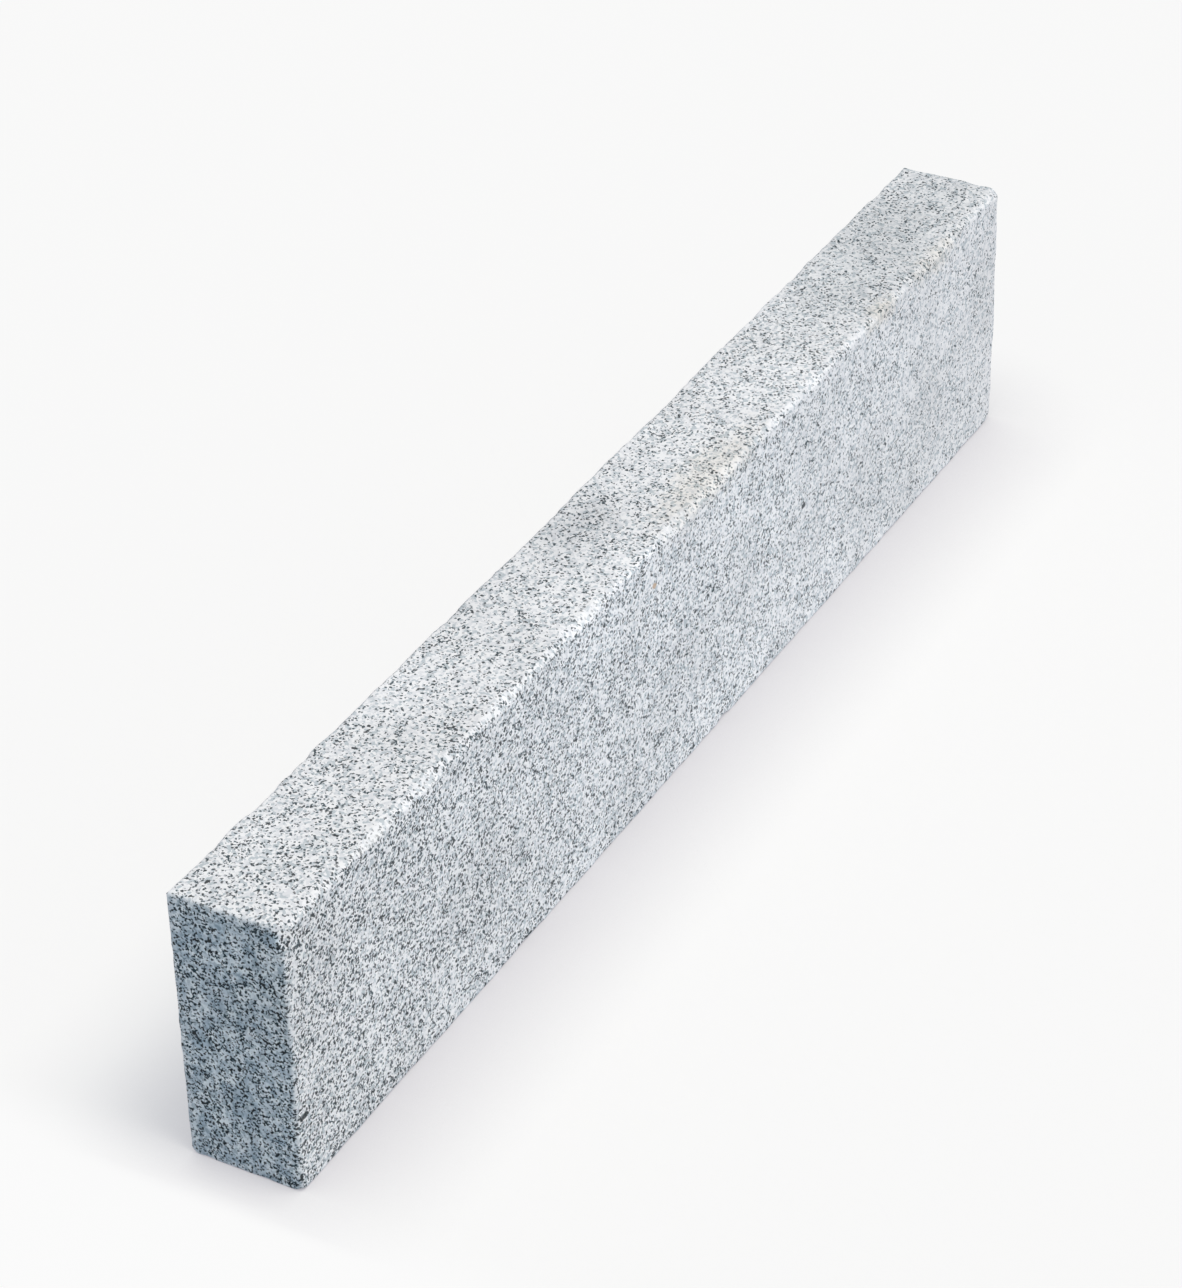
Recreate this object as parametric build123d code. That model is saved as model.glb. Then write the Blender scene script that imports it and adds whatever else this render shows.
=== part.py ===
"""Granite lawn edging stone: one block of stone, standing on its bed as it is laid.

The block is sawn to size. Its top is dressed by hand, so it sags and swells a little, and the
edges that show are broken with the hammer: each has two narrow facets whose widths waver along
the edge. Corners are knocked off and small spalls are missing from the edges.

Millimetres. The origin is the middle of the bed face, +X runs along the stone from its near end
to its far end, +Y runs across it from the front face to the back face and +Z is up.
"""

from build123d import *
from dataclasses import dataclass
import math
import os

# Sawn block
LENGTH = 1000.0
THICKNESS = 80.0
HEIGHT = 200.0

# Flat eased on to the edges that lie in the ground
EASED = 1.2

# Dressed top: how far its middle lies below its ends, and how far it swells and dips
TOP_SAG = 1.4
TOP_SWELL = 0.8
FRONT_LINE_PHASE = 0.0
BACK_LINE_PHASE = 2.6

# Swells of hand work along an edge: wavelength, share of the whole and phase of each
SWELLS = ((173.0, 0.6, 0.4), (71.0, 0.4, 2.1))

# Ridge between the two facets of a broken edge: 0.5 is one flat chamfer, less is rounder
RIDGE = 0.33

# Distances between the sections that the top and a broken edge are drawn through
TOP_PITCH = 25.0
EDGE_PITCH = 12.0

# How far a cutter reaches past the block
REACH = 6.0

# Directions, and the corners of the block that its broken edges start from
X, Y, Z = Vector(1, 0, 0), Vector(0, 1, 0), Vector(0, 0, 1)
NEAR_FRONT_BED = Vector(-LENGTH / 2, -THICKNESS / 2, 0)
FAR_FRONT_BED = Vector(LENGTH / 2, -THICKNESS / 2, 0)
NEAR_FRONT_TOP = Vector(-LENGTH / 2, -THICKNESS / 2, HEIGHT)
FAR_FRONT_TOP = Vector(LENGTH / 2, -THICKNESS / 2, HEIGHT)
NEAR_BACK_TOP = Vector(-LENGTH / 2, THICKNESS / 2, HEIGHT)


@dataclass(frozen=True)
class BrokenEdge:
    """An edge of the block that the hammer has broken.

    first and second point inwards across the two faces that meet in the edge, and the legs are
    the mean widths dressed off those faces. waver is the share of a leg that comes and goes.
    """

    start: Vector
    along: Vector
    first: Vector
    second: Vector
    span: float
    leg_first: float
    leg_second: float
    waver: float
    phase: float


TOP_FRONT = BrokenEdge(NEAR_FRONT_TOP, X, Y, -Z, LENGTH, 6.4, 4.2, 0.45, 0.9)
TOP_BACK = BrokenEdge(NEAR_BACK_TOP, X, -Y, -Z, LENGTH, 2.4, 2.2, 0.4, 2.2)
TOP_NEAR = BrokenEdge(NEAR_FRONT_TOP, Y, X, -Z, THICKNESS, 1.5, 1.2, 0.3, 0.3)
TOP_FAR = BrokenEdge(FAR_FRONT_TOP, Y, -X, -Z, THICKNESS, 2.4, 1.8, 0.35, 1.4)
NEAR_FRONT = BrokenEdge(NEAR_FRONT_BED, Z, Y, X, HEIGHT, 2.0, 2.4, 0.4, 2.9)
FAR_FRONT = BrokenEdge(FAR_FRONT_BED, Z, Y, -X, HEIGHT, 2.4, 2.8, 0.4, 0.7)
BED_FRONT = BrokenEdge(NEAR_FRONT_BED, X, Y, Z, LENGTH, 1.4, 1.6, 0.3, 1.7)
BROKEN_EDGES = (TOP_FRONT, TOP_BACK, TOP_NEAR, TOP_FAR, NEAR_FRONT, FAR_FRONT, BED_FRONT)

# Corners knocked off: the corner and its legs along X, Y and Z, into the stone
KNOCKED_CORNERS = (
    (NEAR_FRONT_TOP, Vector(14, 8, -25)),
    (FAR_FRONT_TOP, Vector(-8, 7, -10)),
    (NEAR_FRONT_BED, Vector(5, 7, 5)),
    (FAR_FRONT_BED, Vector(-10, 8, 9)),
)

# Spalls: the edge, the distance along it, and the spall's length and depth
SPALLS = (
    (TOP_FRONT, 104.0, 46.0, 1.6),
    (TOP_FRONT, 166.0, 30.0, 1.4),
    (TOP_FRONT, 255.0, 52.0, 1.8),
    (TOP_FRONT, 371.0, 44.0, 1.5),
    (TOP_FRONT, 486.0, 38.0, 1.7),
    (TOP_BACK, 205.0, 80.0, 1.0),
    (TOP_BACK, 412.0, 180.0, 1.2),
    (TOP_BACK, 600.0, 140.0, 1.0),
    (TOP_FAR, 20.0, 12.0, 0.9),
    (TOP_FAR, 68.0, 26.0, 1.1),
    (NEAR_FRONT, 55.0, 16.0, 1.2),
    (BED_FRONT, 547.0, 20.0, 1.8),
)


def swell(distance, phase):
    """Height of the swells at a distance along an edge, between -1 and 1."""
    return sum(
        share * math.sin(2 * math.pi * distance / wavelength + offset + phase)
        for wavelength, share, offset in SWELLS
    )


def top_depth(x, y):
    """Depth of the dressed top below the sawn height, ruled from a front line to a back line."""
    sag = TOP_SAG * (1 - (2 * x / LENGTH) ** 2)
    front = TOP_SWELL * (1 + swell(x, FRONT_LINE_PHASE)) / 2
    back = TOP_SWELL * (1 + swell(x, BACK_LINE_PHASE)) / 2
    across = y / THICKNESS + 0.5
    return sag + front + (back - front) * across


def top_line(y):
    """Outline, in the plane at y, of what the dressing takes off above the top."""
    half = LENGTH / 2 + REACH
    count = math.ceil(2 * half / TOP_PITCH)
    stations = [half * (2 * i / count - 1) for i in range(count + 1)]
    line = Spline(*[(x, y, HEIGHT - top_depth(x, y)) for x in stations])
    lid = Polyline(line @ 1, (half, y, HEIGHT + REACH), (-half, y, HEIGHT + REACH), line @ 0)
    return make_face(line + lid)


def edge_section(edge, distance):
    """Corner, end of the first leg, ridge and end of the second leg, at a distance along an edge.

    An edge whose second face runs down from the top starts at the dressed top, not the sawn one.
    """
    corner = edge.start + edge.along * distance
    if edge.second.Z < 0:
        corner -= Vector(0, 0, top_depth(corner.X, corner.Y))
    first = edge.first * edge.leg_first * (1 + edge.waver * swell(distance, edge.phase))
    second = edge.second * edge.leg_second * (1 + edge.waver * swell(distance, 2 * edge.phase))
    ridge = (first + second) * RIDGE
    return corner, corner + first, corner + ridge, corner + second


def edge_cutter(edge):
    """What the hammer takes off along an edge, lofted through its sections."""
    run = edge.span + 2 * REACH
    count = math.ceil(run / EDGE_PITCH)
    sections = []
    for i in range(count + 1):
        corner, first, ridge, second = edge_section(edge, run * i / count - REACH)
        outside = corner + (corner - ridge) * 3
        past_first = first + (first - ridge)
        past_second = second + (second - ridge)
        sections.append(make_face(Polyline(outside, past_first, ridge, past_second, close=True)))
    return loft(sections)


def corner_cutter(corner, legs):
    """Block that lies on the plane through the ends of the three legs and covers the corner."""
    outward = Vector(-1 / legs.X, -1 / legs.Y, -1 / legs.Z)
    size = 3 * legs.length
    plane = Plane(corner + Vector(legs.X, 0, 0), z_dir=outward)
    return plane * Box(size, size, size, align=(Align.CENTER, Align.CENTER, Align.MIN))


def spall_cutter(edge, distance, length, depth):
    """Ball that scoops a shell-shaped spall out of the ridge of a broken edge."""
    ridge = edge_section(edge, distance)[2]
    outward = -(edge.first + edge.second).normalized()
    radius = (length**2 / 4 + depth**2) / (2 * depth)
    return Pos(ridge + outward * (radius - depth)) * Sphere(radius)


block = Pos(0, 0, HEIGHT / 2) * Box(LENGTH, THICKNESS, HEIGHT)
bed_edges = block.edges().group_by(Axis.Z)[0].sort_by(Axis.Y)[1:]
back_uprights = block.edges().filter_by(Axis.Z).sort_by(Axis.Y)[2:]
stone = chamfer(bed_edges + back_uprights, EASED)

stone -= loft([top_line(-THICKNESS / 2 - REACH), top_line(THICKNESS / 2 + REACH)])
for broken in BROKEN_EDGES:
    stone -= edge_cutter(broken)
for corner, legs in KNOCKED_CORNERS:
    stone -= corner_cutter(corner, legs)
for spall in SPALLS:
    stone -= spall_cutter(*spall)

stone.label = "edging_stone"
os.makedirs("parts", exist_ok=True)
export_step(stone, "parts/edging_stone.step")
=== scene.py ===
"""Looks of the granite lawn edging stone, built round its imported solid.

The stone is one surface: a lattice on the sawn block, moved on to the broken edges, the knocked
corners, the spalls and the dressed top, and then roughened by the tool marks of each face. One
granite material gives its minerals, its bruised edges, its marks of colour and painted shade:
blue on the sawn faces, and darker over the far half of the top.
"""

import itertools
import logging
import math
from dataclasses import dataclass, field
from enum import Enum
from typing import Any

import bpy
import numpy as np
from mathutils import Matrix, Vector


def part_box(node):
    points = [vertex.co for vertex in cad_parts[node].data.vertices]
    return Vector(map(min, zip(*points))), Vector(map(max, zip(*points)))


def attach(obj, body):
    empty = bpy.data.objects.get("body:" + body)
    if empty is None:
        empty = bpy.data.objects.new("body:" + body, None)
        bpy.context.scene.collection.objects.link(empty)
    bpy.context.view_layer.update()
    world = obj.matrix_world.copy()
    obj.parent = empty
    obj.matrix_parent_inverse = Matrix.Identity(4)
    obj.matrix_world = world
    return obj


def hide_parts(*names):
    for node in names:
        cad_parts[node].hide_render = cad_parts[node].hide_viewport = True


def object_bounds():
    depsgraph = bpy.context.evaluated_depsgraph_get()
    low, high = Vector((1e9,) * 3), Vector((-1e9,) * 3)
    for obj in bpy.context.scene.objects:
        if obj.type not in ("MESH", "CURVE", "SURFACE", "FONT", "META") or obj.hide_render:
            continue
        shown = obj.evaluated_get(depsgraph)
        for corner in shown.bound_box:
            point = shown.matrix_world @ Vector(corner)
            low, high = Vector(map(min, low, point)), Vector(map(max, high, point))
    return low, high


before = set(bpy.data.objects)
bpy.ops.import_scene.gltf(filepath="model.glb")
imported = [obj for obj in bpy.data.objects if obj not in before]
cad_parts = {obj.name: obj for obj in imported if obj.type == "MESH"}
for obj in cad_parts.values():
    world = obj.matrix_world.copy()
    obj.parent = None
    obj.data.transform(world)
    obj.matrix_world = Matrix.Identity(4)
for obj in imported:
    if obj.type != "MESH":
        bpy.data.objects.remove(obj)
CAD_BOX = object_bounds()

LOG = logging.getLogger("edging_stone")
MM = 0.001
PHOTO_HEIGHT_PX = 1288.0
SENSOR_MM = 36.0
WHITE = (1.0, 1.0, 1.0, 1.0)

# Random heights that a noise picks from, and the primes that scatter its cells among them
NOISE_HEIGHTS = 4096
NOISE_PRIMES = (73856093, 19349663, 83492791)

# Sockets of a Mix node that blends colours: its share, its two colours and its result
MIX_SHARE, MIX_FIRST, MIX_SECOND, MIX_RESULT = 0, 6, 7, 2

Tree = bpy.types.NodeTree
Socket = bpy.types.NodeSocket


def linear(hex_colour: str) -> tuple[float, float, float, float]:
    """Turns an sRGB hex colour into linear light with full alpha.

    Args:
        hex_colour: Six hex digits after a hash sign.

    Returns:
        Red, green, blue and alpha, each from 0 to 1.
    """
    parts = [int(hex_colour[i : i + 2], 16) / 255 for i in (1, 3, 5)]
    light = [c / 12.92 if c <= 0.04045 else ((c + 0.055) / 1.055) ** 2.4 for c in parts]
    return (light[0], light[1], light[2], 1.0)


def add_node(tree: Tree, kind: str, inputs: dict[Any, Any], **settings: Any) -> bpy.types.Node:
    """Adds a node with its settings, values and links.

    Args:
        tree: Node tree that gets the node.
        kind: Blender's name for the type of node.
        inputs: Socket name or number, to a value or to the output that feeds it.
        settings: Properties of the node; stops is a list of (place, colour) for a colour ramp.

    Returns:
        The new node.
    """
    made = tree.nodes.new(kind)
    stops = settings.pop("stops", None)
    for name, value in settings.items():
        setattr(made, name, value)
    if stops:
        ramp = made.color_ramp
        while len(ramp.elements) < len(stops):
            ramp.elements.new(1.0)
        for element, (place, colour) in zip(ramp.elements, stops):
            element.position = place
            element.color = colour
    for key, value in inputs.items():
        if isinstance(value, Socket):
            tree.links.new(value, made.inputs[key])
        else:
            made.inputs[key].default_value = value
    return made


def value_noise(points: np.ndarray, size: float, seed: int) -> np.ndarray:
    """Smooth random field: random heights on a cubic lattice, blended between its corners.

    Args:
        points: N by 3 places in metres.
        size: Edge of a lattice cell in metres.
        seed: Picks the random heights.

    Returns:
        N heights between -1 and 1.
    """
    heights = np.random.default_rng(seed).uniform(-1, 1, NOISE_HEIGHTS)
    scaled = points / size
    cell = np.floor(scaled).astype(np.int64)
    part = scaled - cell
    part = part * part * (3 - 2 * part)
    total = np.zeros(len(points))
    for corner in itertools.product((0, 1), repeat=3):
        x, y, z = ((cell + corner) * NOISE_PRIMES).T
        weight = np.where(corner, part, 1 - part).prod(axis=1)
        total += weight * heights[(x ^ y ^ z) % NOISE_HEIGHTS]
    return total


def layered_noise(
    points: np.ndarray, layers: tuple[tuple[float, float], ...], seed: int
) -> np.ndarray:
    """Sum of noises of several sizes, each times its share, with seeds in a row.

    Args:
        points: N by 3 places in metres.
        layers: Size in metres and share of each noise.
        seed: Seed of the first noise.

    Returns:
        N heights, at most the sum of the shares.
    """
    noises = [s * value_noise(points, size, seed + i) for i, (size, s) in enumerate(layers)]
    return np.sum(noises, axis=0)


def ramp_up(values: np.ndarray, start: float, end: float) -> np.ndarray:
    """Smooth step: 0 up to start, 1 from end on, with a cubic between them.

    Args:
        values: Any array.
        start: Value where the step begins.
        end: Value where it is complete; below start, the step runs the other way.

    Returns:
        Array of the same shape, from 0 to 1.
    """
    share = np.clip((values - start) / (end - start), 0, 1)
    return share * share * (3 - 2 * share)


class Side(Enum):
    """Faces of the block: number of the axis across it, and which end of that axis."""

    NEAR = (0, 0)
    FAR = (0, 1)
    FRONT = (1, 0)
    BACK = (1, 1)
    BED = (2, 0)
    TOP = (2, 1)


class Finish(Enum):
    """How a face was worked: relief in millimetres, and dark flakes at its near and far end.

    The flakes are a share of the surface, over that of the whole stone. A saw leaves them clean,
    and each blow of the hammer whitens some.
    """

    SAWN = (0.18, 0.10, 0.05)
    HAMMERED = (0.75, 0.085, -0.045)
    DRESSED = (0.75, 0.01, -0.02)


FACE_FINISH = {
    Side.NEAR: Finish.SAWN,
    Side.FAR: Finish.SAWN,
    Side.FRONT: Finish.HAMMERED,
    Side.BACK: Finish.HAMMERED,
    Side.BED: Finish.SAWN,
    Side.TOP: Finish.DRESSED,
}


@dataclass(frozen=True)
class BrokenEdge:
    """An edge of the block that the hammer has broken; lengths in metres.

    first and second are the two faces that meet in the edge, and the legs are the mean widths of
    the break, measured inwards from each of them. waver is the share of a leg that comes and
    goes, bruise is how white the crushed stone is and ragged is the share of a leg that small
    chips add or leave.
    """

    first: Side
    second: Side
    leg_first: float
    leg_second: float
    waver: float
    phase: float
    bruise: float
    ragged: float


@dataclass(frozen=True)
class Spall:
    """A shell-shaped piece missing from an edge; lengths in metres.

    white is how much its floor shows crushed crystals.
    """

    edge: BrokenEdge
    distance: float
    length: float
    depth: float
    white: float


TOP_FRONT = BrokenEdge(Side.FRONT, Side.TOP, 6.4 * MM, 4.2 * MM, 0.45, 0.9, 0.06, 0.9)
TOP_BACK = BrokenEdge(Side.BACK, Side.TOP, 2.4 * MM, 2.2 * MM, 0.4, 2.2, 0.10, 1.2)
TOP_NEAR = BrokenEdge(Side.NEAR, Side.TOP, 1.5 * MM, 1.2 * MM, 0.3, 0.3, 0.20, 0.7)
TOP_FAR = BrokenEdge(Side.FAR, Side.TOP, 2.4 * MM, 1.8 * MM, 0.35, 1.4, 0.10, 0.7)
NEAR_FRONT = BrokenEdge(Side.NEAR, Side.FRONT, 2.4 * MM, 2.0 * MM, 0.4, 2.9, 0.05, 0.5)
FAR_FRONT = BrokenEdge(Side.FAR, Side.FRONT, 2.8 * MM, 2.4 * MM, 0.4, 0.7, 0.05, 0.6)
BED_FRONT = BrokenEdge(Side.FRONT, Side.BED, 1.4 * MM, 1.6 * MM, 0.3, 1.7, 0.05, 0.7)
NEAR_BACK = BrokenEdge(Side.NEAR, Side.BACK, 1.2 * MM, 1.2 * MM, 0.2, 0.5, 0.05, 0.4)
FAR_BACK = BrokenEdge(Side.FAR, Side.BACK, 1.2 * MM, 1.2 * MM, 0.2, 1.9, 0.05, 0.8)
BED_BACK = BrokenEdge(Side.BACK, Side.BED, 1.2 * MM, 1.2 * MM, 0.2, 1.1, 0.05, 0.6)
BED_NEAR = BrokenEdge(Side.NEAR, Side.BED, 1.2 * MM, 1.2 * MM, 0.2, 2.4, 0.05, 0.6)
BED_FAR = BrokenEdge(Side.FAR, Side.BED, 1.2 * MM, 1.2 * MM, 0.2, 0.2, 0.05, 0.6)
EDGES = (
    TOP_FRONT,
    TOP_BACK,
    TOP_NEAR,
    TOP_FAR,
    NEAR_FRONT,
    FAR_FRONT,
    BED_FRONT,
    NEAR_BACK,
    FAR_BACK,
    BED_BACK,
    BED_NEAR,
    BED_FAR,
)

SPALLS = (
    Spall(TOP_FRONT, 104 * MM, 46 * MM, 1.6 * MM, 0.6),
    Spall(TOP_FRONT, 166 * MM, 30 * MM, 1.4 * MM, 0.5),
    Spall(TOP_FRONT, 255 * MM, 52 * MM, 1.8 * MM, 0.5),
    Spall(TOP_FRONT, 371 * MM, 44 * MM, 1.5 * MM, 0.8),
    Spall(TOP_FRONT, 486 * MM, 38 * MM, 1.7 * MM, 0.4),
    Spall(TOP_BACK, 205 * MM, 80 * MM, 1.0 * MM, 0.1),
    Spall(TOP_BACK, 412 * MM, 180 * MM, 1.2 * MM, 0.1),
    Spall(TOP_BACK, 600 * MM, 140 * MM, 1.0 * MM, 0.1),
    Spall(TOP_FAR, 20 * MM, 12 * MM, 0.9 * MM, 0.2),
    Spall(TOP_FAR, 68 * MM, 26 * MM, 1.1 * MM, 0.2),
    Spall(NEAR_FRONT, 55 * MM, 16 * MM, 1.2 * MM, 0.0),
    Spall(BED_FRONT, 547 * MM, 20 * MM, 1.8 * MM, 0.1),
)

# Corners knocked off: the three faces that meet there, and how far along each axis
KNOCKED_CORNERS = (
    ((Side.NEAR, Side.FRONT, Side.TOP), (14 * MM, 8 * MM, 25 * MM)),
    ((Side.FAR, Side.FRONT, Side.TOP), (8 * MM, 7 * MM, 10 * MM)),
    ((Side.NEAR, Side.FRONT, Side.BED), (5 * MM, 7 * MM, 5 * MM)),
    ((Side.FAR, Side.FRONT, Side.BED), (10 * MM, 8 * MM, 9 * MM)),
    ((Side.NEAR, Side.BACK, Side.BED), (6 * MM, 5 * MM, 4.5 * MM)),
)


@dataclass
class EdgingStone:
    """The stone: a block whose surface is a lattice, broken at its edges and roughened.

    Lengths are in metres. fine and coarse are the lattice's spacings, the fine one within margin
    of an edge. Each swell has a wavelength, a share and a phase, and edge_chips and tool_marks
    are layers of noise, each a size and a share. ridge, least_leg, edge_fade, bruise_band and
    crush_legs count in legs of an edge, corner_fade in legs of a corner, crush_length in lengths
    of a spall, and crush_fade in radii of the crushed ellipse.
    """

    node: str = "edging_stone"
    fine: float = 1.2 * MM
    coarse: tuple[float, float, float] = (2.6 * MM, 4.0 * MM, 4.0 * MM)
    margin: float = 11 * MM
    top_sag: float = 1.4 * MM
    top_swell: float = 0.8 * MM
    front_line_phase: float = 0.0
    back_line_phase: float = 2.6
    swells: tuple[tuple[float, float, float], ...] = ((173 * MM, 0.6, 0.4), (71 * MM, 0.4, 2.1))
    ridge: float = 0.33
    edge_chips: tuple[tuple[float, float], ...] = ((14 * MM, 0.6), (6 * MM, 0.5))
    least_leg: float = 0.2
    edge_fade: float = 3.0
    bruise_band: tuple[float, float] = (0.5, 1.7)
    corner_fade: float = 1.6
    corner_ragged: float = 0.08
    corner_ragged_size: float = 5 * MM
    spall_ragged: float = 0.35 * MM
    spall_ragged_size: float = 7 * MM
    crush_length: float = 0.6
    crush_legs: float = 2.0
    crush_fade: float = 0.6
    chip_spacing: float = 18 * MM
    chip_lengths: tuple[float, float] = (8 * MM, 26 * MM)
    chip_depths: tuple[float, float] = (0.2 * MM, 1.0 * MM)
    face_blend: float = 1.5 * MM
    tool_marks: tuple[tuple[float, float], ...] = ((16 * MM, 0.45), (6.5 * MM, 0.55))
    tool_mark_seed: int = 7
    chip_seed: int = 7
    corner_seed: int = 10
    spall_seed: int = 12
    edge_seed: int = 15
    low: np.ndarray = field(init=False)
    high: np.ndarray = field(init=False)

    def __post_init__(self) -> None:
        """Reads the block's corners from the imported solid."""
        low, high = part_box(self.node)
        self.low = np.array(low)
        self.high = np.array(high)

    def lines(self, axis: int) -> np.ndarray:
        """Lattice lines across an axis: close together near its ends, wider apart between.

        Args:
            axis: Number of the axis.

        Returns:
            Rising coordinates from one face of the block to the other.
        """
        low, high = self.low[axis], self.high[axis]
        fine_count = math.ceil(self.margin / self.fine)
        wide_count = math.ceil((high - low - 2 * self.margin) / self.coarse[axis])
        start = np.linspace(low, low + self.margin, fine_count + 1)
        middle = np.linspace(low + self.margin, high - self.margin, wide_count + 1)
        end = np.linspace(high - self.margin, high, fine_count + 1)
        return np.concatenate([start, middle[1:-1], end])

    def lattice(self) -> tuple[np.ndarray, np.ndarray]:
        """Closed lattice on the six faces of the block.

        Each face is a grid of two of the axes' lines. Points on shared edges get one number,
        because a point is named by its three line numbers.

        Returns:
            N by 3 points and M by 4 corner numbers, faces outwards.
        """
        lines = [self.lines(axis) for axis in range(3)]
        counts = tuple(len(line) for line in lines)
        quads = []
        for side in Side:
            axis, end = side.value
            u, v = (axis + 1) % 3, (axis + 2) % 3
            grid = np.zeros((3, counts[u], counts[v]), int)
            grid[axis] = end * (counts[axis] - 1)
            grid[u] = np.arange(counts[u])[:, None]
            grid[v] = np.arange(counts[v])[None, :]
            key = np.ravel_multi_index(tuple(grid), counts)
            quad = np.stack([key[:-1, :-1], key[1:, :-1], key[1:, 1:], key[:-1, 1:]], -1)
            quad = quad.reshape(-1, 4)
            quads.append(quad if end else quad[:, ::-1])
        keys, corners = np.unique(np.concatenate(quads), return_inverse=True)
        numbers = np.unravel_index(keys, counts)
        points = np.stack([line[number] for line, number in zip(lines, numbers)], -1)
        return points, corners.reshape(-1, 4)

    def depth(self, points: np.ndarray, side: Side) -> np.ndarray:
        """Distance of points inwards from a face of the sawn block."""
        axis, end = side.value
        return self.high[axis] - points[:, axis] if end else points[:, axis] - self.low[axis]

    def inward(self, side: Side) -> np.ndarray:
        """Unit vector that points into the stone from a face.

        Args:
            side: The face.

        Returns:
            The vector.
        """
        axis, end = side.value
        direction = np.zeros(3)
        direction[axis] = -1.0 if end else 1.0
        return direction

    def swell(self, distance: np.ndarray, phase: float) -> np.ndarray:
        """Swells of hand work: a sum of sines along an edge.

        Args:
            distance: Places along the edge, in metres.
            phase: Shift that makes one edge differ from the next.

        Returns:
            Heights between -1 and 1.
        """
        waves = [s * np.sin(2 * np.pi * distance / w + o + phase) for w, s, o in self.swells]
        return np.sum(waves, axis=0)

    def along(self, edge: BrokenEdge) -> int:
        """Number of the axis that an edge runs along."""
        return 3 - edge.first.value[0] - edge.second.value[0]

    def legs(self, edge: BrokenEdge, distance: np.ndarray) -> tuple[np.ndarray, np.ndarray]:
        """Widths of the break at places along an edge.

        The first is measured inwards from the first face, along the second one, and the second
        the other way round.

        Args:
            edge: The broken edge.
            distance: Places along it, from the block's low corner.

        Returns:
            The two widths at each place.
        """
        first = edge.leg_first * (1 + edge.waver * self.swell(distance, edge.phase))
        second = edge.leg_second * (1 + edge.waver * self.swell(distance, 2 * edge.phase))
        return first, second

    def break_edge(self, points: np.ndarray, edge: BrokenEdge) -> tuple[np.ndarray, np.ndarray]:
        """Moves the points near an edge on to its broken profile.

        With a and b the distances inwards from the two faces, each divided by its leg, t = a - b
        runs from -1 to 1 across the broken band. The sawn profile is (max(t, 0), max(-t, 0)) and
        the broken one is (f(t), f(-t)) with f(t) = ((1 + t) / 2) ** p, which leaves both faces
        along them and passes through the ridge. Points move less the deeper they lie.

        Args:
            points: Points of the surface.
            edge: The edge to break.

        Returns:
            The moved points, and how bruised each is by this edge.
        """
        axis = self.along(edge)
        leg_first, leg_second = self.legs(edge, points[:, axis] - self.low[axis])
        chips = layered_noise(points, self.edge_chips, self.edge_seed)
        chipped = np.maximum(1 + edge.ragged * chips, self.least_leg)
        leg_first, leg_second = leg_first * chipped, leg_second * chipped
        a = self.depth(points, edge.first) / leg_first
        b = self.depth(points, edge.second) / leg_second
        power = math.log(self.ridge) / math.log(0.5)
        t = np.clip(a - b, -1, 1)
        fade = np.clip(1 - np.minimum(a, b) / self.edge_fade, 0, 1)
        move_first = leg_first * (((1 + t) / 2) ** power - np.maximum(t, 0)) * fade
        move_second = leg_second * (((1 - t) / 2) ** power - np.maximum(-t, 0)) * fade
        moved = points + move_first[:, None] * self.inward(edge.first)
        moved = moved + move_second[:, None] * self.inward(edge.second)
        band = (1 - ramp_up(np.abs(a - b), *self.bruise_band)) * fade
        return moved, band * edge.bruise

    def knock_corner(
        self, points: np.ndarray, sides: tuple[Side, ...], legs: tuple[float, ...]
    ) -> np.ndarray:
        """Presses a corner back on to the plane through the ends of its three legs.

        With d the three distances inwards, each divided by its leg, a point with d summing to
        less than 1 lies outside the plane and moves straight on to it.

        Args:
            points: Points of the surface.
            sides: The three faces that meet in the corner.
            legs: Length of the leg along each face's axis.

        Returns:
            The moved points.
        """
        slopes = sum(self.inward(side) / leg for side, leg in zip(sides, legs))
        shares = sum(self.depth(points, side) / leg for side, leg in zip(sides, legs))
        ragged = self.corner_ragged * value_noise(points, self.corner_ragged_size, self.corner_seed)
        short = np.maximum(1 - shares + ragged, 0)
        near = ramp_up(shares, self.corner_fade, 1.0)
        return points + (short * near)[:, None] * slopes / (slopes @ slopes)

    def scoop(self, points: np.ndarray, spall: Spall) -> tuple[np.ndarray, np.ndarray]:
        """Presses a shell-shaped spall into an edge: points inside a ball move out to its skin.

        The stone round it is crushed in an ellipse, whose half axes are crush_length times the
        spall's length and crush_legs times the edge's legs.

        Args:
            points: Points of the surface.
            spall: Where and how large the spall is.

        Returns:
            The moved points, and how freshly broken each is.
        """
        edge = spall.edge
        axis = self.along(edge)
        leg_first, leg_second = self.legs(edge, np.array([spall.distance]))
        into = self.inward(edge.first) * leg_first + self.inward(edge.second) * leg_second
        corner = self.low.copy()
        for side in (edge.first, edge.second):
            number, end = side.value
            corner[number] = self.high[number] if end else self.low[number]
        corner[axis] = self.low[axis] + spall.distance
        out = -(self.inward(edge.first) + self.inward(edge.second)) / math.sqrt(2)
        radius = (spall.length**2 / 4 + spall.depth**2) / (2 * spall.depth)
        centre = corner + self.ridge * into + out * (radius - spall.depth)
        near = np.flatnonzero(np.abs(points[:, axis] - corner[axis]) < spall.length)
        away = points[near] - centre
        distance = np.linalg.norm(away, axis=1)
        ragged = self.spall_ragged * value_noise(
            points[near], self.spall_ragged_size, self.spall_seed
        )
        push = np.maximum(radius + ragged - distance, 0)
        moved = points.copy()
        moved[near] += away * (push / distance)[:, None]
        lengthwise = (points[near, axis] - corner[axis]) / (self.crush_length * spall.length)
        across = self.depth(points[near], edge.first) / (self.crush_legs * leg_first)
        across += self.depth(points[near], edge.second) / (self.crush_legs * leg_second)
        fresh = np.zeros(len(points))
        fresh[near] = ramp_up(1 - np.hypot(lengthwise, across), 0.0, self.crush_fade)
        return moved, fresh

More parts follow.
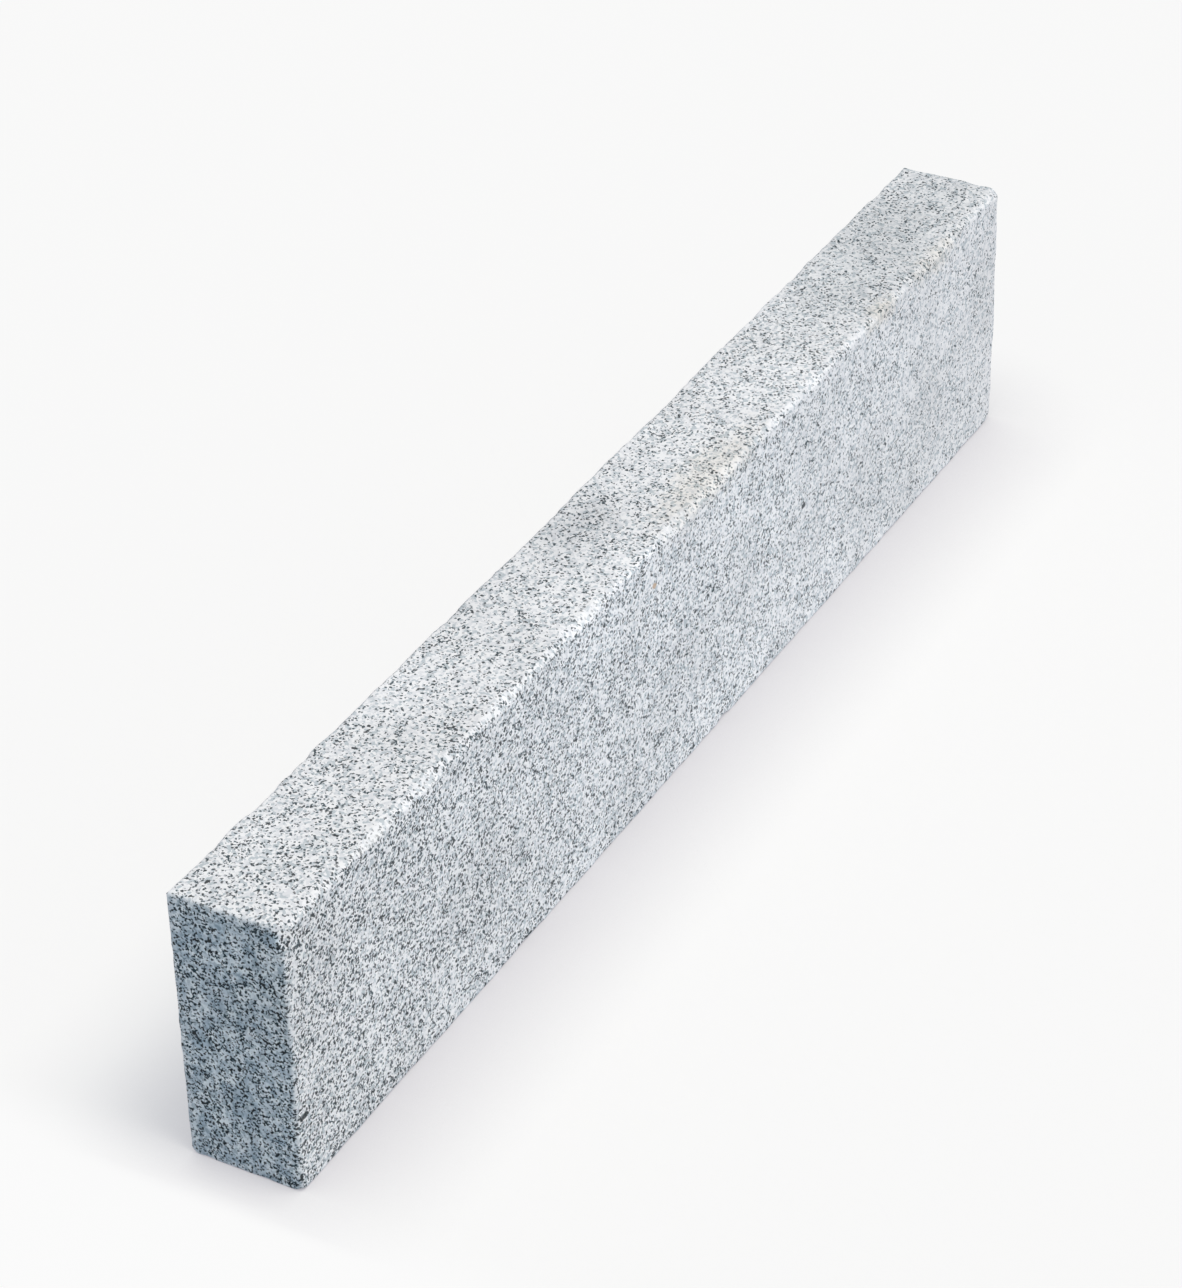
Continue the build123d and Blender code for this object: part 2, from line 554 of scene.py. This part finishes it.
    def chips(self, edge: BrokenEdge) -> list[Spall]:
        """Small chips along an edge, at random places and of random sizes.

        Args:
            edge: The broken edge.

        Returns:
            Shallow spalls, deeper on a more ragged edge.
        """
        span = (self.high - self.low)[self.along(edge)]
        draw = np.random.default_rng(self.chip_seed + EDGES.index(edge))
        count = round(span / self.chip_spacing)
        places = draw.uniform(0, span, count)
        lengths = draw.uniform(*self.chip_lengths, count)
        depths = edge.ragged * draw.uniform(*self.chip_depths, count)
        return [Spall(edge, *chip, edge.bruise) for chip in zip(places, lengths, depths)]

    def dress_top(self, points: np.ndarray) -> np.ndarray:
        """Lowers the top: a sag along its length, and swells ruled from front to back.

        Every height shrinks in proportion, so that the bed stays flat.

        Args:
            points: Points of the surface.

        Returns:
            The moved points.
        """
        x, y = points[:, 0], points[:, 1]
        sag = self.top_sag * (1 - (x / self.high[0]) ** 2)
        front = self.top_swell * (1 + self.swell(x, self.front_line_phase)) / 2
        back = self.top_swell * (1 + self.swell(x, self.back_line_phase)) / 2
        across = (y - self.low[1]) / (self.high[1] - self.low[1])
        lowered = points.copy()
        lowered[:, 2] *= 1 - (sag + front + (back - front) * across) / self.high[2]
        return lowered

    def worked(self, block: np.ndarray) -> tuple[np.ndarray, np.ndarray, np.ndarray]:
        """How the surface was worked, from the face a point is on, blended across the edges.

        The dark flakes thin out along the stone, evenly from its near end to its far end.

        Args:
            block: Points of the lattice on the sawn block.

        Returns:
            Depth of relief in metres, a share from 0, sawn, to 1, hammered, and the share of
            dark flakes that is added.
        """
        nearness = np.stack([np.exp(-self.depth(block, side) / self.face_blend) for side in Side])
        weights = nearness / nearness.sum(axis=0)
        relief, near, far = np.array([FACE_FINISH[side].value for side in Side]).T @ weights
        hammered = np.array([float(FACE_FINISH[side] is not Finish.SAWN) for side in Side])
        along = (block[:, 0] - self.low[0]) / (self.high[0] - self.low[0])
        return relief * MM, hammered @ weights, near + (far - near) * along

    def surface(self) -> tuple[np.ndarray, np.ndarray, np.ndarray, np.ndarray]:
        """Works out the stone's surface before its tool marks.

        Returns:
            Points, faces, bruise of each point, and the points on the sawn block they came from.
        """
        block, faces = self.lattice()
        points = block.copy()
        bruise = np.zeros(len(block))
        for edge in EDGES:
            points, band = self.break_edge(points, edge)
            bruise = np.maximum(bruise, band)
        for sides, legs in KNOCKED_CORNERS:
            points = self.knock_corner(points, sides, legs)
        chips = itertools.chain.from_iterable(self.chips(edge) for edge in EDGES)
        for spall in (*SPALLS, *chips):
            points, fresh = self.scoop(points, spall)
            bruise = np.maximum(bruise, fresh * spall.white)
        points = self.dress_top(points)
        return points, faces, bruise, block

    def roughen(self, points: np.ndarray, normals: np.ndarray, depth: np.ndarray) -> np.ndarray:
        """Cuts the tool marks: two sizes of smooth noise, always into the stone.

        Noise from -1 to 1 becomes a cut from the whole depth to none of it.

        Args:
            points: Points of the surface.
            normals: Outward normals there.
            depth: Depth of relief at each point.

        Returns:
            The moved points.
        """
        marks = layered_noise(points, self.tool_marks, self.tool_mark_seed)
        cut = depth * np.clip(0.5 - 0.5 * marks, 0, 1)
        return points - normals * cut[:, None]

    def build(self, granite: bpy.types.Material) -> bpy.types.Object:
        """Makes the stone's mesh and its bruise, hammered and flakes attributes.

        Args:
            granite: Material of the stone.

        Returns:
            The finished object, at the origin.
        """
        points, faces, bruise, block = self.surface()
        depth, hammered, flakes = self.worked(block)
        mesh = bpy.data.meshes.new("granite_block")
        mesh.from_pydata(points, [], faces.tolist())
        mesh.polygons.foreach_set("use_smooth", np.ones(len(faces), bool))
        normals = np.empty(len(points) * 3, np.float32)
        mesh.vertex_normals.foreach_get("vector", normals)
        rough = self.roughen(points, normals.reshape(-1, 3), depth)
        rough = np.clip(rough, self.low, self.high)
        mesh.vertices.foreach_set("co", rough.astype(np.float32).ravel())
        for name, values in (("bruise", bruise), ("hammered", hammered), ("flakes", flakes)):
            layer = mesh.attributes.new(name, "FLOAT", "POINT")
            layer.data.foreach_set("value", values.astype(np.float32))
        mesh.materials.append(granite)
        mesh.update()
        stone = bpy.data.objects.new("granite_block", mesh)
        bpy.context.scene.collection.objects.link(stone)
        return stone


class StainOrShadeKind(Enum):
    """How a mark lies on the stone, a real one or painted shade: its blend, and the shares of its
    reach where it fades.

    A tint darkens the crystals softly, and a grain covers them up to a crisp edge.
    """

    TINT = ("MULTIPLY", 1.35, 0.7)
    GRAIN = ("MIX", 1.12, 0.92)


@dataclass(frozen=True)
class StainOrShade:
    """A mark on the stone, real or painted shade: its kind, middle, reach along the three axes,
    colour and strength.
    """

    kind: StainOrShadeKind
    centre_mm: tuple[float, float, float]
    reach_mm: tuple[float, float, float]
    colour: str
    strength: float


@dataclass(frozen=True)
class Granite:
    """Light grey granite, hammered on its long faces and sawn on its ends.

    Pale feldspar gives the body colour, grey quartz breaks it up, and specks of hornblende and
    black flakes of biotite give the salt and pepper. Hammering crushes the crystals, so those
    faces are paler and less contrasted than the sawn ones, and struck edges are nearly white.
    The pits of a broken surface hide about half of the gloss that its crystals have.
    """

    feldspar: str = "#F4F5F7"
    dull_feldspar: str = "#E4E6EA"
    quartz: str = "#BEC7CD"
    hornblende: str = "#0A2F3A"
    biotite: str = "#061A22"
    crushed: str = "#E9EAEC"
    struck: str = "#F0F1F2"
    # Sawn tones: the sawn stone's own smudges, with painted blue shade in both
    sawn_pale_and_blue_shade: str = "#F0FAFF"
    sawn_smudge_and_blue_shade: str = "#BBCEDB"
    grain_mm: float = 2.0
    speck_mm: float = 1.2
    flake_mm: float = 1.6
    smudge_mm: float = 9.0
    patch_mm: float = 9.0
    warp_mm: float = 1.3
    cluster_mm: float = 12.0
    cloud_mm: float = 70.0
    noise_low: float = 0.3
    noise_high: float = 0.7
    mineral_stops: tuple[float, ...] = (0.18, 0.32, 0.50, 0.66)
    smudge_stops: tuple[float, ...] = (0.36, 0.62)
    gather: float = 0.05
    speck_share: float = 0.105
    flake_share: float = 0.03
    flake_edge: float = 0.03
    crush_share: float = 0.08
    darkest_cloud: float = 0.9
    palest_cloud: float = 1.04
    patch_from: float = 0.38
    patch_to: float = 0.60
    patch_white: float = 0.9
    hammered_roughness: float = 0.85
    sawn_roughness: float = 0.62
    ior: float = 1.54
    specular_level: float = 0.25
    relief_mm: float = 0.5
    relief_strength: float = 0.15
    stains_and_painted_shade: tuple[StainOrShade, ...] = (
        StainOrShade(StainOrShadeKind.TINT, (45.0, -30.0, 198.0), (110.0, 34.0, 24.0), "#EADFCB", 0.30),
        StainOrShade(StainOrShadeKind.TINT, (300.0, -40.0, 196.0), (36.0, 18.0, 18.0), "#E8DAC2", 0.35),
        StainOrShade(StainOrShadeKind.TINT, (390.0, -40.0, 194.0), (60.0, 16.0, 18.0), "#EBDFCA", 0.30),
        StainOrShade(StainOrShadeKind.TINT, (-45.0, 20.0, 200.0), (70.0, 40.0, 12.0), "#B4B8BC", 0.30),
        # Painted shade, not a real mark: darkens the far half of the top, where the light falls off
        StainOrShade(StainOrShadeKind.TINT, (390.0, 6.0, 200.0), (260.0, 80.0, 20.0), "#BCC2C4", 0.34),
        StainOrShade(StainOrShadeKind.GRAIN, (-49.0, -40.0, 168.5), (7.0, 6.0, 5.0), "#C4AC95", 0.9),
        StainOrShade(StainOrShadeKind.GRAIN, (172.0, -40.0, 105.0), (7.0, 5.0, 4.6), "#2C3338", 0.9),
        StainOrShade(StainOrShadeKind.GRAIN, (-492.5, -40.0, 54.5), (9.0, 8.0, 3.8), "#1D2325", 0.9),
    )

    def bent(self, tree: Tree, place: Socket) -> Socket:
        """Bends the coordinates by fine noise, so that crystals have crooked outlines.

        Args:
            tree: Node tree of the granite.
            place: Object coordinates.

        Returns:
            The bent coordinates.
        """
        warp = add_node(
            tree,
            "ShaderNodeTexNoise",
            {"Vector": place, "Scale": 1 / (self.warp_mm * MM), "Detail": 1.0},
        ).outputs["Color"]
        centred = add_node(
            tree, "ShaderNodeVectorMath", {0: warp, 1: (0.5, 0.5, 0.5)}, operation="SUBTRACT"
        ).outputs[0]
        pushed = add_node(
            tree,
            "ShaderNodeVectorMath",
            {0: centred, "Scale": self.warp_mm * MM},
            operation="SCALE",
        ).outputs[0]
        return add_node(
            tree, "ShaderNodeVectorMath", {0: place, 1: pushed}, operation="ADD"
        ).outputs[0]

    def gathered(self, tree: Tree, place: Socket) -> Socket:
        """Adds the noise by which like minerals lie in clusters.

        Args:
            tree: Node tree of the granite.
            place: Object coordinates.

        Returns:
            Share of the surface that a mineral gains or loses.
        """
        cluster = add_node(
            tree,
            "ShaderNodeTexNoise",
            {"Vector": place, "Scale": 1 / (self.cluster_mm * MM), "Detail": 2.0},
        ).outputs["Fac"]
        return add_node(
            tree,
            "ShaderNodeMapRange",
            {
                "Value": cluster,
                "From Min": self.noise_low,
                "From Max": self.noise_high,
                "To Min": -self.gather,
                "To Max": self.gather,
            },
        ).outputs[0]

    def crystals(self, tree: Tree, bent: Socket, gather: Socket) -> tuple[Socket, Socket]:
        """Packs the stone with crystals, each sorted by a random draw into quartz or feldspar.

        Args:
            tree: Node tree of the granite.
            bent: Bent coordinates.
            gather: Share by which minerals cluster.

        Returns:
            Colour and height of each crystal.
        """
        cells = add_node(
            tree, "ShaderNodeTexVoronoi", {"Vector": bent, "Scale": 1 / (self.grain_mm * MM)}
        )
        draws = add_node(tree, "ShaderNodeSeparateColor", {0: cells.outputs["Color"]}).outputs
        sort = add_node(
            tree, "ShaderNodeMath", {0: draws[0], 1: gather}, operation="SUBTRACT"
        ).outputs[0]
        minerals = (self.quartz, self.dull_feldspar, self.dull_feldspar, self.feldspar)
        colour = add_node(
            tree,
            "ShaderNodeValToRGB",
            {"Fac": sort},
            stops=list(zip(self.mineral_stops, map(linear, minerals))),
        ).outputs[0]
        return colour, draws[1]

    def peppered(
        self, tree: Tree, bent: Socket, gather: Socket, colour: Socket
    ) -> tuple[Socket, Socket]:
        """Strews specks of hornblende and flakes of biotite over the crystals.

        A dark grain shows where its random draw is below its share, which grows where minerals
        cluster and by the flakes attribute.

        Args:
            tree: Node tree of the granite.
            bent: Bent coordinates.
            gather: Share by which minerals cluster.
            colour: Colour of the crystals.

        Returns:
            The peppered colour, and the height of each cell of the flakes.
        """
        added = add_node(tree, "ShaderNodeAttribute", {}, attribute_name="flakes").outputs["Fac"]
        more = add_node(tree, "ShaderNodeMath", {0: gather, 1: added}, operation="ADD").outputs[0]
        for size_mm, share, dark in (
            (self.speck_mm, self.speck_share, self.hornblende),
            (self.flake_mm, self.flake_share, self.biotite),
        ):
            cells = add_node(
                tree, "ShaderNodeTexVoronoi", {"Vector": bent, "Scale": 1 / (size_mm * MM)}
            )
            draws = add_node(tree, "ShaderNodeSeparateColor", {0: cells.outputs["Color"]}).outputs
            level = add_node(
                tree, "ShaderNodeMath", {0: draws[0], 1: more}, operation="SUBTRACT"
            ).outputs[0]
            shows = add_node(
                tree,
                "ShaderNodeMapRange",
                {"Value": level, "From Min": share + self.flake_edge, "From Max": share},
            ).outputs[0]
            colour = add_node(
                tree,
                "ShaderNodeMix",
                {MIX_SHARE: shows, MIX_FIRST: colour, MIX_SECOND: linear(dark)},
                data_type="RGBA",
            ).outputs[MIX_RESULT]
        return colour, draws[1]

    def worked(self, tree: Tree, place: Socket, hammered: Socket, colour: Socket) -> Socket:
        """Dusts the hammered faces with crushed stone, smudges the sawn ones and gives them painted
        blue shade, and clouds them all.

        Args:
            tree: Node tree of the granite.
            place: Object coordinates.
            hammered: Share from 0, sawn, to 1, hammered.
            colour: Colour of the minerals.

        Returns:
            The colour of the worked faces.
        """
        crush = add_node(
            tree, "ShaderNodeMath", {0: hammered, 1: self.crush_share}, operation="MULTIPLY"
        ).outputs[0]
        colour = add_node(
            tree,
            "ShaderNodeMix",
            {MIX_SHARE: crush, MIX_FIRST: colour, MIX_SECOND: linear(self.crushed)},
            data_type="RGBA",
        ).outputs[MIX_RESULT]
        smudge = add_node(
            tree,
            "ShaderNodeTexNoise",
            {"Vector": place, "Scale": 1 / (self.smudge_mm * MM), "Detail": 3.0},
        ).outputs["Fac"]
        # Painted blue shade: the sawn tones tint the sawn faces blue as well as smudging them
        sawn_tones_and_blue_shade = (self.sawn_smudge_and_blue_shade, self.sawn_pale_and_blue_shade)
        sawn_tone_and_blue_shade = add_node(
            tree,
            "ShaderNodeValToRGB",
            {"Fac": smudge},
            stops=list(zip(self.smudge_stops, map(linear, sawn_tones_and_blue_shade))),
        ).outputs[0]
        tint = add_node(
            tree,
            "ShaderNodeMix",
            {MIX_SHARE: hammered, MIX_FIRST: sawn_tone_and_blue_shade, MIX_SECOND: WHITE},
            data_type="RGBA",
        ).outputs[MIX_RESULT]
        cloud = add_node(
            tree,
            "ShaderNodeTexNoise",
            {"Vector": place, "Scale": 1 / (self.cloud_mm * MM), "Detail": 3.0},
        ).outputs["Fac"]
        shade = add_node(
            tree,
            "ShaderNodeMapRange",
            {
                "Value": cloud,
                "From Min": self.noise_low,
                "From Max": self.noise_high,
                "To Min": self.darkest_cloud,
                "To Max": self.palest_cloud,
            },
        ).outputs[0]
        for tone in (tint, shade):
            colour = add_node(
                tree,
                "ShaderNodeMix",
                {MIX_SHARE: 1.0, MIX_FIRST: colour, MIX_SECOND: tone},
                data_type="RGBA",
                blend_type="MULTIPLY",
            ).outputs[MIX_RESULT]
        return colour

    def bruised(self, tree: Tree, patchy: Socket, colour: Socket) -> Socket:
        """Whitens the struck edges and spalls in patches, by the bruise attribute.

        Args:
            tree: Node tree of the granite.
            patchy: Noise that makes the bruises uneven.
            colour: Colour of the stone so far.

        Returns:
            The bruised colour.
        """
        bruise = add_node(tree, "ShaderNodeAttribute", {}, attribute_name="bruise").outputs["Fac"]
        blow = add_node(
            tree,
            "ShaderNodeMapRange",
            {
                "Value": patchy,
                "From Min": self.patch_from,
                "From Max": self.patch_to,
                "To Max": self.patch_white,
            },
        ).outputs[0]
        struck = add_node(
            tree, "ShaderNodeMath", {0: bruise, 1: blow}, operation="MULTIPLY"
        ).outputs[0]
        return add_node(
            tree,
            "ShaderNodeMix",
            {MIX_SHARE: struck, MIX_FIRST: colour, MIX_SECOND: linear(self.struck)},
            data_type="RGBA",
        ).outputs[MIX_RESULT]

    def stained_or_shaded(
        self, tree: Tree, place: Socket, patchy: Socket, colour: Socket, stain_or_shade: StainOrShade
    ) -> Socket:
        """Marks the stone round a middle, with a real colour or painted shade, fading out to the
        mark's reach.

        Args:
            tree: Node tree of the granite.
            place: Object coordinates.
            patchy: Noise that makes the stain uneven.
            colour: Colour of the stone so far.
            stain_or_shade: The mark to add, a real one or painted shade.

        Returns:
            The marked colour.
        """
        middle = tuple(c * MM for c in stain_or_shade.centre_mm)
        reach = tuple(1 / (r * MM) for r in stain_or_shade.reach_mm)
        offset = add_node(
            tree, "ShaderNodeVectorMath", {0: place, 1: middle}, operation="SUBTRACT"
        ).outputs[0]
        scaled = add_node(
            tree, "ShaderNodeVectorMath", {0: offset, 1: reach}, operation="MULTIPLY"
        ).outputs[0]
        away = add_node(
            tree, "ShaderNodeVectorMath", {0: scaled}, operation="LENGTH"
        ).outputs["Value"]
        uneven = add_node(tree, "ShaderNodeMath", {0: away, 1: patchy}, operation="ADD").outputs[0]
        blend, outer, inner = stain_or_shade.kind.value
        cover = add_node(
            tree,
            "ShaderNodeMapRange",
            {"Value": uneven, "From Min": outer, "From Max": inner, "To Max": stain_or_shade.strength},
            interpolation_type="SMOOTHSTEP",
        ).outputs[0]
        return add_node(
            tree,
            "ShaderNodeMix",
            {MIX_SHARE: cover, MIX_FIRST: colour, MIX_SECOND: linear(stain_or_shade.colour)},
            data_type="RGBA",
            blend_type=blend,
        ).outputs[MIX_RESULT]

    def material(self) -> bpy.types.Material:
        """Builds the granite's nodes on Object coordinates.

        Returns:
            The material.
        """
        made = bpy.data.materials.new("hammered_and_sawn_granite")
        made.use_nodes = True
        tree = made.node_tree
        tree.nodes.clear()
        place = add_node(tree, "ShaderNodeTexCoord", {}).outputs["Object"]
        hammered = add_node(
            tree, "ShaderNodeAttribute", {}, attribute_name="hammered"
        ).outputs["Fac"]
        patchy = add_node(
            tree,
            "ShaderNodeTexNoise",
            {"Vector": place, "Scale": 1 / (self.patch_mm * MM), "Detail": 3.0},
        ).outputs["Fac"]
        bent = self.bent(tree, place)
        gather = self.gathered(tree, place)
        minerals, crystal_height = self.crystals(tree, bent, gather)
        peppered, flake_height = self.peppered(tree, bent, gather, minerals)
        worked = self.worked(tree, place, hammered, peppered)
        colour = self.bruised(tree, patchy, worked)
        for stain_or_shade in self.stains_and_painted_shade:
            colour = self.stained_or_shaded(tree, place, patchy, colour, stain_or_shade)
        rough = add_node(
            tree,
            "ShaderNodeMapRange",
            {"Value": hammered, "To Min": self.sawn_roughness, "To Max": self.hammered_roughness},
        ).outputs[0]
        height = add_node(
            tree, "ShaderNodeMath", {0: crystal_height, 1: flake_height}, operation="ADD"
        ).outputs[0]
        relief = add_node(
            tree,
            "ShaderNodeBump",
            {"Height": height, "Distance": self.relief_mm * MM, "Strength": self.relief_strength},
        ).outputs[0]
        shader = add_node(
            tree,
            "ShaderNodeBsdfPrincipled",
            {
                "Base Color": colour,
                "Roughness": rough,
                "Normal": relief,
                "IOR": self.ior,
                "Specular IOR Level": self.specular_level,
            },
        )
        add_node(tree, "ShaderNodeOutputMaterial", {"Surface": shader.outputs[0]})
        return made


@dataclass
class Studio:
    """Pale floor, soft light and the camera of the photograph; lengths in metres.

    Painted light lifts the floor's painted shade before the near end, and there keeps the floor
    nearly evenly bright over the key's shadow. Along the stone, that painted light is whole up to
    end_before in front of that end and gone by end_past beyond it. Round the end's foot, it is whole
    within painted_light_from and gone by painted_light_to.
    """

    camera_place: tuple[float, float, float] = (-1.97039, -1.08468, 1.62632)
    heading_deg: float = 29.657
    down_deg: float = 34.502
    roll_deg: float = -1.472
    focal_px: float = 4017.4
    floor_half: float = 30.0
    background: str = "#FBFBFB"
    # The floor's painted shade where it meets the stone: its colour, and how far it reaches
    painted_contact_shade: str = "#BEBBC4"
    painted_shade_reach: float = 100 * MM
    sent_back: str = "#D2D2D2"
    end_before: float = 40 * MM
    end_past: float = 15 * MM
    painted_light_from: float = 150 * MM
    painted_light_to: float = 700 * MM
    evenness: float = 0.55
    painted_light_evenness: float = 0.95
    key_colour: str = "#FFF8EB"
    key_heading_deg: float = -82.0
    key_height_deg: float = 66.0
    key_spread_deg: float = 30.0
    key_light: float = 0.55
    fill_colour: str = "#E2EDFF"
    fill_place: tuple[float, float, float] = (0.0, -0.8, 0.3)
    fill_aim: tuple[float, float, float] = (0.0, 0.0, 0.1)
    fill_size: float = 0.6
    fill_watts: float = 1.5
    room_colour: str = "#EDF4FF"
    room_light: float = 0.53

    def camera(self) -> None:
        """Sets the camera as fitted to the stone's outline in the photograph."""
        data = bpy.data.cameras.new("photo_camera")
        data.sensor_fit = "VERTICAL"
        data.sensor_height = SENSOR_MM
        data.lens = SENSOR_MM * self.focal_px / PHOTO_HEIGHT_PX
        camera = bpy.data.objects.new("photo_camera", data)
        turn = Matrix.Rotation(math.radians(self.heading_deg - 90), 4, "Z")
        tilt = Matrix.Rotation(math.radians(90 - self.down_deg), 4, "X")
        roll = Matrix.Rotation(math.radians(self.roll_deg), 4, "Z")
        camera.matrix_world = Matrix.Translation(self.camera_place) @ turn @ tilt @ roll
        bpy.context.scene.collection.objects.link(camera)
        bpy.context.scene.camera = camera

    def looked_at(self, tree: Tree) -> Socket:
        """Adds the test for rays that show a surface: straight, in a reflection or through glass.

        Args:
            tree: Node tree that gets the test.

        Returns:
            Output that is 1 for such a ray and 0 for one that only brings light.
        """
        rays = add_node(tree, "ShaderNodeLightPath", {}).outputs
        straight_or_mirrored = add_node(
            tree,
            "ShaderNodeMath",
            {0: rays["Is Camera Ray"], 1: rays["Is Glossy Ray"]},
            operation="MAXIMUM",
        ).outputs[0]
        return add_node(
            tree,
            "ShaderNodeMath",
            {0: straight_or_mirrored, 1: rays["Is Transmission Ray"]},
            operation="MAXIMUM",
        ).outputs[0]

    def painted_light_before_end(self, tree: Tree) -> Socket:
        """Adds the share of painted light that lifts the floor's shade before the near end.

        Args:
            tree: Node tree of the floor.

        Returns:
            Output that is 1 in front of the near end and 0 beside the stone and far away.
        """
        near_end = CAD_BOX[0][0]
        place = add_node(tree, "ShaderNodeTexCoord", {}).outputs["Object"]
        along = add_node(tree, "ShaderNodeSeparateXYZ", {0: place}).outputs["X"]
        away = add_node(
            tree, "ShaderNodeVectorMath", {0: place, 1: (near_end, 0.0, 0.0)}, operation="DISTANCE"
        ).outputs["Value"]
        fades = (
            (along, near_end - self.end_before, near_end + self.end_past),
            (away, self.painted_light_from, self.painted_light_to),
        )
        shares = {}
        for number, (measure, whole, gone) in enumerate(fades):
            shares[number] = add_node(
                tree,
                "ShaderNodeMapRange",
                {"Value": measure, "From Min": whole, "From Max": gone, "To Min": 1.0, "To Max": 0.0},
                interpolation_type="SMOOTHSTEP",
            ).outputs[0]
        return add_node(tree, "ShaderNodeMath", shares, operation="MULTIPLY").outputs[0]

    def paper(self) -> bpy.types.Material:
        """Makes the floor's paper: pale to look at, darker in the light it sends on to the stone.

        It has painted shade where it meets the stone, which painted light lifts before the near end.

        Returns:
            The material.
        """
        made = bpy.data.materials.new("pale_paper_sweep")
        made.use_nodes = True
        tree = made.node_tree
        tree.nodes.clear()
        # Painted shade: the floor's colour darkens where the stone hides its sky
        open_sky = add_node(
            tree, "ShaderNodeAmbientOcclusion", {"Distance": self.painted_shade_reach}, samples=8
        ).outputs["AO"]
        # Painted light that lifts the painted shade before the near end
        painted_light_before_end = self.painted_light_before_end(tree)
        bright = add_node(
            tree, "ShaderNodeMath", {0: open_sky, 1: painted_light_before_end}, operation="MAXIMUM"
        ).outputs[0]
        tone = add_node(
            tree,
            "ShaderNodeMix",
            {
                MIX_SHARE: bright,
                MIX_FIRST: linear(self.painted_contact_shade),
                MIX_SECOND: linear(self.background),
            },
            data_type="RGBA",
        ).outputs[MIX_RESULT]
        lit = add_node(tree, "ShaderNodeBsdfDiffuse", {"Color": tone})
        even = add_node(tree, "ShaderNodeEmission", {"Color": tone})
        # Painted light: before the near end the floor is nearly all even glow, which hides the key's
        # shadow there
        evenness = add_node(
            tree,
            "ShaderNodeMapRange",
            {"Value": painted_light_before_end, "To Min": self.evenness, "To Max": self.painted_light_evenness},
        )
        seen = add_node(
            tree,
            "ShaderNodeMixShader",
            {0: evenness.outputs[0], 1: lit.outputs[0], 2: even.outputs[0]},
        )
        sends = add_node(tree, "ShaderNodeBsdfDiffuse", {"Color": linear(self.sent_back)})
        both = add_node(
            tree,
            "ShaderNodeMixShader",
            {0: self.looked_at(tree), 1: sends.outputs[0], 2: seen.outputs[0]},
        )
        add_node(tree, "ShaderNodeOutputMaterial", {"Surface": both.outputs[0]})
        return made

    def floor(self) -> bpy.types.Object:
        """Lays the paper out flat under the stone.

        Returns:
            The floor.
        """
        reach = self.floor_half
        mesh = bpy.data.meshes.new("studio_floor")
        mesh.from_pydata(
            [(-reach, -reach, 0), (reach, -reach, 0), (reach, reach, 0), (-reach, reach, 0)],
            [],
            [(0, 1, 2, 3)],
        )
        mesh.materials.append(self.paper())
        floor = bpy.data.objects.new("studio_floor", mesh)
        bpy.context.scene.collection.objects.link(floor)
        return floor

    def lamps(self, floor: bpy.types.Object) -> None:
        """Hangs a wide soft key far overhead, and sets a softbox that fills the front face.

        The fill spares the floor, which so has no pool of light and only the key's shadow.

        Args:
            floor: The studio's floor.
        """
        key = bpy.data.lights.new("key_lamp", "SUN")
        key.energy = self.key_light * math.pi
        key.color = linear(self.key_colour)[:3]
        key.angle = math.radians(self.key_spread_deg)
        key_turn = Matrix.Rotation(math.radians(self.key_heading_deg + 90), 4, "Z")
        key_tilt = Matrix.Rotation(math.radians(90 - self.key_height_deg), 4, "X")
        key_lamp = bpy.data.objects.new("key_lamp", key)
        key_lamp.matrix_world = key_turn @ key_tilt
        fill = bpy.data.lights.new("fill_softbox", "AREA")
        fill.energy = self.fill_watts
        fill.color = linear(self.fill_colour)[:3]
        fill.size = self.fill_size
        aim = Vector(self.fill_aim) - Vector(self.fill_place)
        fill_turn = aim.to_track_quat("-Z", "Y").to_matrix().to_4x4()
        fill_lamp = bpy.data.objects.new("fill_softbox", fill)
        fill_lamp.matrix_world = Matrix.Translation(self.fill_place) @ fill_turn
        spared = bpy.data.collections.new("spared_by_fill")
        spared.objects.link(floor)
        spared.collection_objects[0].light_linking.link_state = "EXCLUDE"
        fill_lamp.light_linking.receiver_collection = spared
        for lamp in (key_lamp, fill_lamp):
            bpy.context.scene.collection.objects.link(lamp)

    def world(self) -> None:
        """Fills the room with even light, and shows the background's colour to the camera."""
        room = bpy.data.worlds.new("studio_room")
        room.use_nodes = True
        tree = room.node_tree
        tree.nodes.clear()
        fill = add_node(
            tree,
            "ShaderNodeBackground",
            {"Color": linear(self.room_colour), "Strength": self.room_light},
        )
        seen = add_node(
            tree, "ShaderNodeBackground", {"Color": linear(self.background), "Strength": 1.0}
        )
        both = add_node(
            tree,
            "ShaderNodeMixShader",
            {0: self.looked_at(tree), 1: fill.outputs[0], 2: seen.outputs[0]},
        )
        add_node(tree, "ShaderNodeOutputWorld", {"Surface": both.outputs[0]})
        bpy.context.scene.world = room

    def build(self) -> None:
        """Puts up the whole studio."""
        bpy.context.scene.view_settings.view_transform = "Standard"
        self.camera()
        self.lamps(self.floor())
        self.world()


def main() -> None:
    """Builds the stone and its studio, and reports each piece."""
    logging.basicConfig(level=logging.INFO, format="%(name)s: %(message)s")
    Studio().build()
    stone = EdgingStone()
    block = stone.build(Granite().material())
    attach(block, "root")
    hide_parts(stone.node)
    LOG.info("%s: %d faces", block.name, len(block.data.polygons))


if __name__ == "__main__":
    main()
